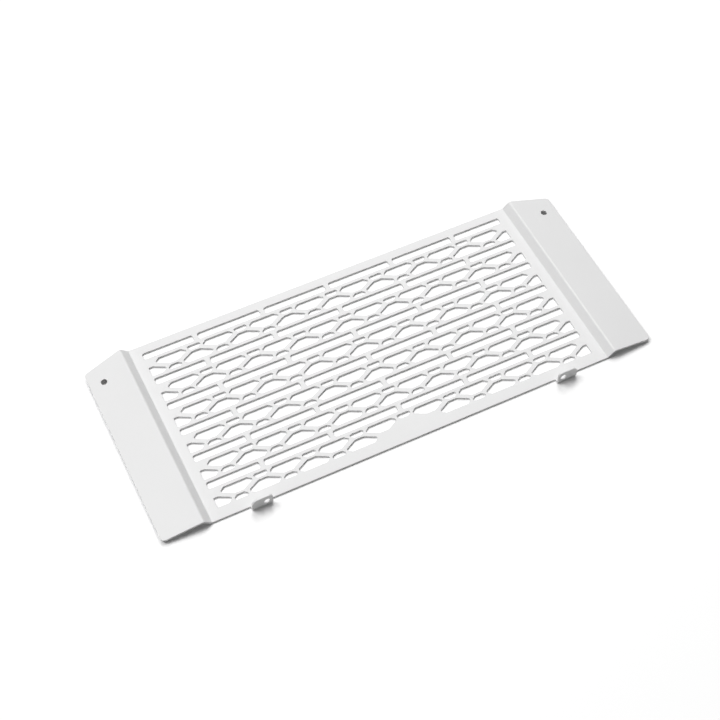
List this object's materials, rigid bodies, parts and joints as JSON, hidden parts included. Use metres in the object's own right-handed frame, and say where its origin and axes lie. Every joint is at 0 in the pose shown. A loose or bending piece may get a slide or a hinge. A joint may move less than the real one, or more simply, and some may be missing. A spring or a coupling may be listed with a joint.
{
  "type": "motorcycle radiator guard",
  "caption": "Folded sheet guard for a motorcycle radiator, with slotted and six-sided openings, stepped end wings with screw holes, and upturned front tabs.",
  "frame": {"origin": "under the middle of the whole part, on the surface that the panel's underside lies on", "axes": "+X along the panel from one wing to the other, +Y up the panel from its tabs to its top edge, +Z out of the panel's face"},
  "size_m": [0.3704, 0.1554, 0.0115],
  "materials": {
    "satin_sheet": "fine satin, pale silver grey"
  },
  "bodies": {
    "root": {"guard_sheet": "satin_sheet"}
  },
  "joints": []
}
